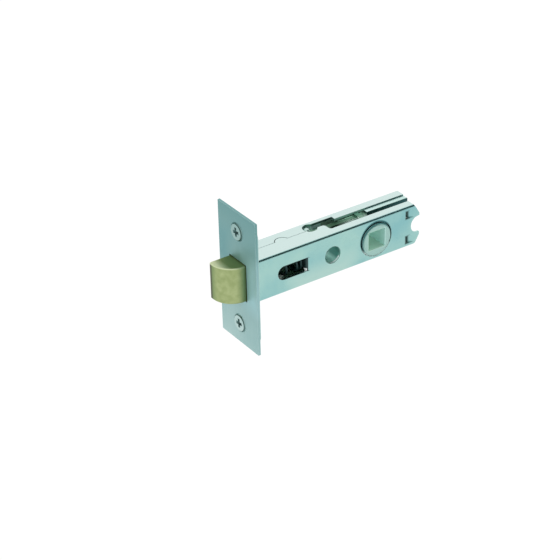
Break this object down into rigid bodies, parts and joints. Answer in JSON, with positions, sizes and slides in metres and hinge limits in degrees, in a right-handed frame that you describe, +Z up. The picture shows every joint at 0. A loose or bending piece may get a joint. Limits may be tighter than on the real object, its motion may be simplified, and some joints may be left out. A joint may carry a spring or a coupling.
{
  "type": "tubular door latch",
  "caption": "Tubular door latch: a bevelled spring bolt in a folded steel case, drawn back by a hub with a square spindle hole, with a screwed faceplate for the door's edge.",
  "frame": {"origin": "Where the latch's axis meets the back of the inner forend, the face that seats on the door; midway between the two forend screws.", "axes": "+X into the door along the case, +Y across the latch toward the bolt's flat side (the bevel faces -Y), +Z up."},
  "size_m": [0.091, 0.025, 0.057],
  "materials": {
    "satin_plate": "satin chrome plate",
    "plated_steel": "bright zinc plate",
    "screw_steel": "satin plate",
    "brass": "satin brass",
    "retractor_steel": "zinc plate",
    "spring_steel": "dark drawn wire",
    "hub_metal": "zinc-plated casting"
  },
  "bodies": {
    "latch_case": {"faceplate": "satin_plate", "inner_forend": "plated_steel", "case": "plated_steel", "upper_screw": "screw_steel", "lower_screw": "screw_steel", "bolt_spring": "spring_steel"},
    "bolt": {"latch_bolt": "brass", "retractor": "retractor_steel", "bolt_pin": "retractor_steel", "guide_stud": "retractor_steel"},
    "hub": {"hub": "hub_metal"}
  },
  "joints": [
    {"name": "bolt_slide", "type": "slide", "parent": "latch_case", "child": "bolt", "axis": [1, 0, 0], "range_m": [0, 0.0095], "stiffness_N_per_m": 450, "springref_m": -0.012, "deforming": ["bolt_spring"]},
    {"name": "hub_turn", "type": "hinge", "parent": "latch_case", "child": "hub", "pos_m": [0.058, 0, 0], "axis": [0, 1, 0], "range_deg": [0, 70.7]}
  ],
  "couplings": [
    {"joint": "hub_turn", "follows": "bolt_slide", "rad_per_m": 129.83}
  ]
}
